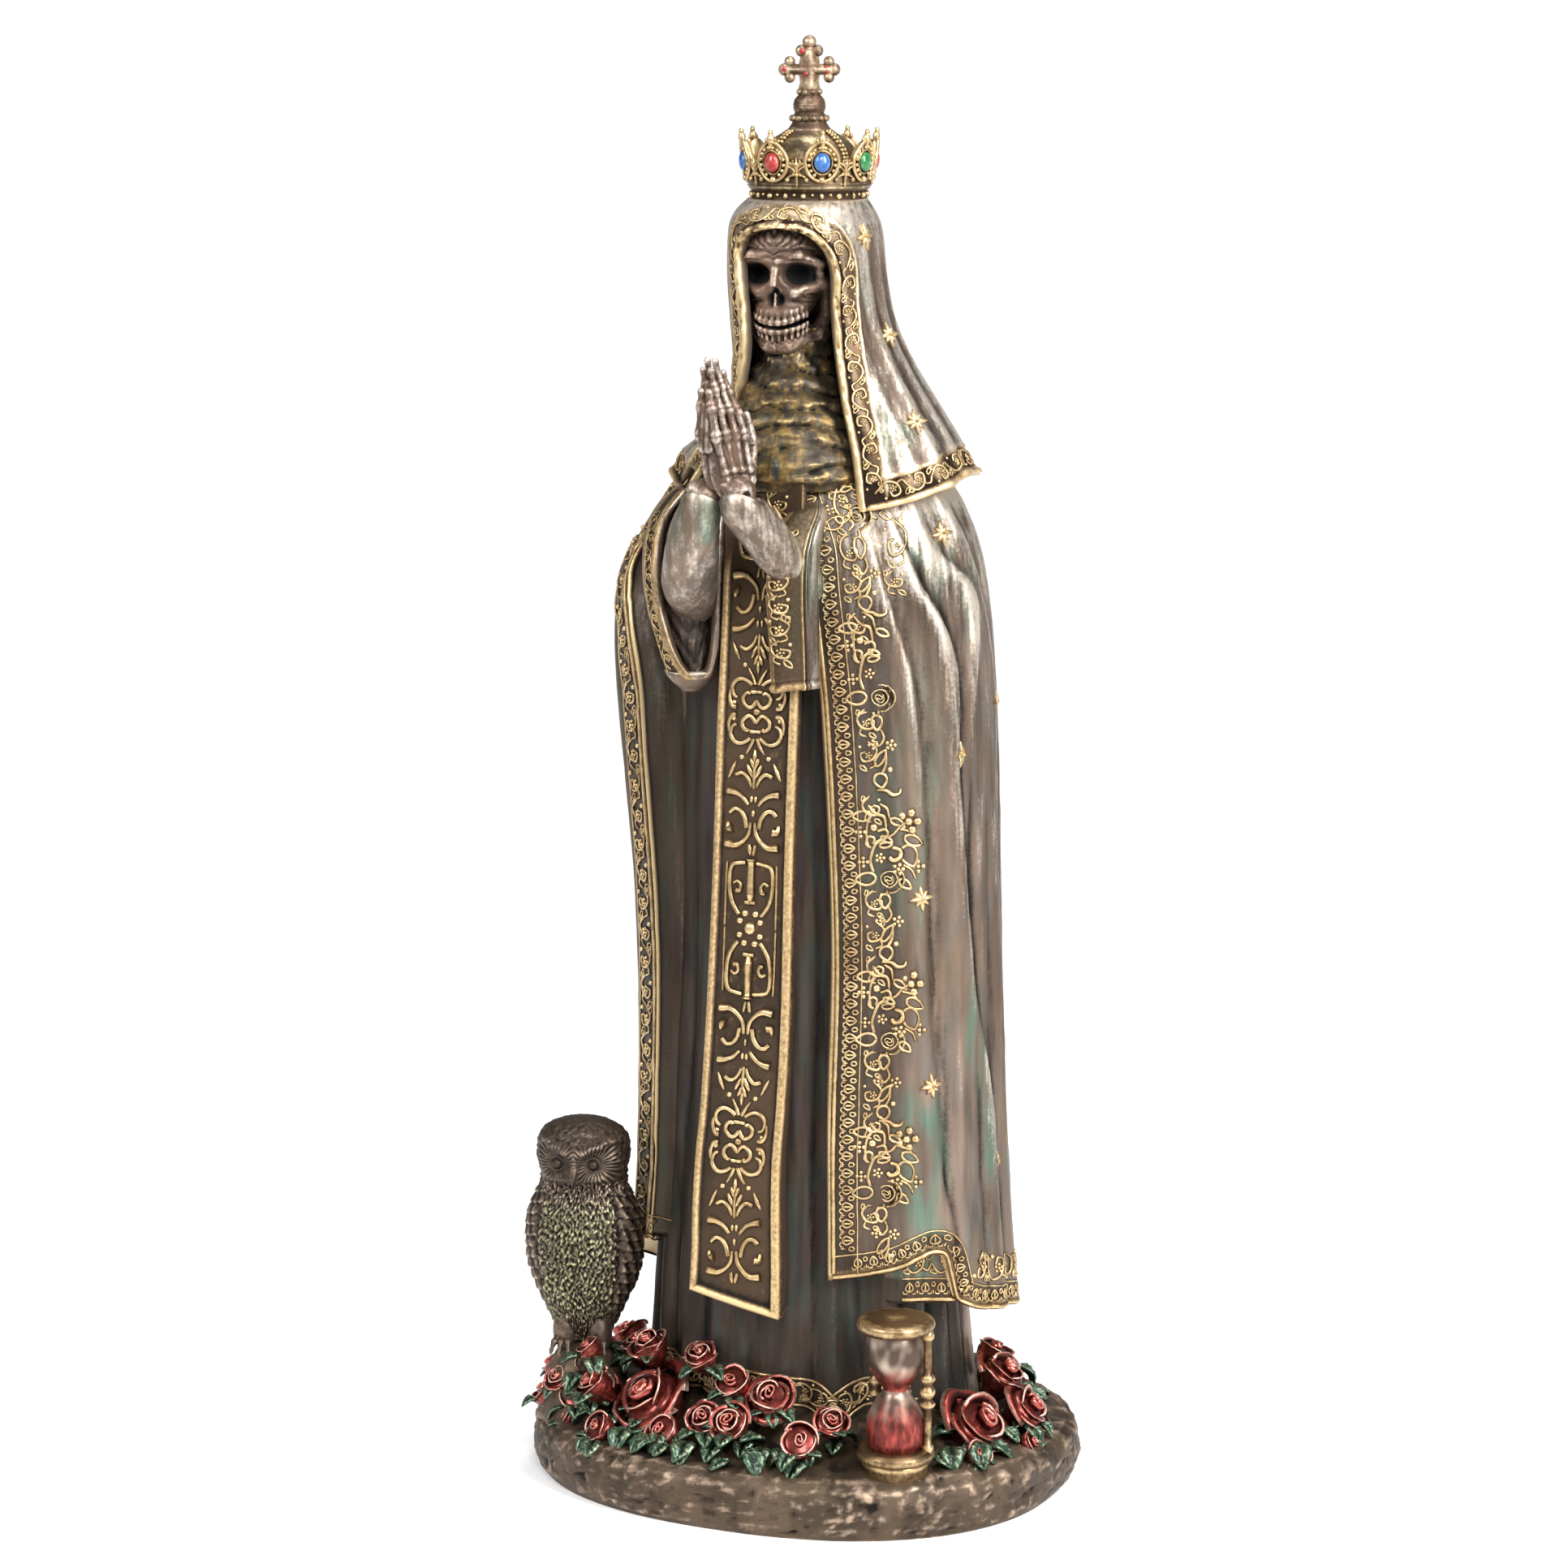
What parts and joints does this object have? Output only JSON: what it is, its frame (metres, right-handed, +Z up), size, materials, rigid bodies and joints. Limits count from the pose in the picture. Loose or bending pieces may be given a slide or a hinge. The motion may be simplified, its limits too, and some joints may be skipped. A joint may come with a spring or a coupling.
{
  "type": "santa muerte figure",
  "caption": "Robed and crowned skeleton statuette with praying hands, an owl and an hourglass beside it, cast in one with a low oval base of rock and roses.",
  "frame": {"origin": "centre of the flat underside of the base", "axes": "+Z up through the cross, -Y the way the figure faces, +X towards the figure's own left side, where the hourglass stands"},
  "size_m": [0.1147, 0.0955, 0.297],
  "materials": {
    "antique_bronze": "cold-cast bronze resin, aged dark in the recesses and rubbed pale on the ridges, with gold ornament and painted red roses"
  },
  "bodies": {
    "root": {"santa_muerte_figure": "antique_bronze"}
  },
  "joints": []
}
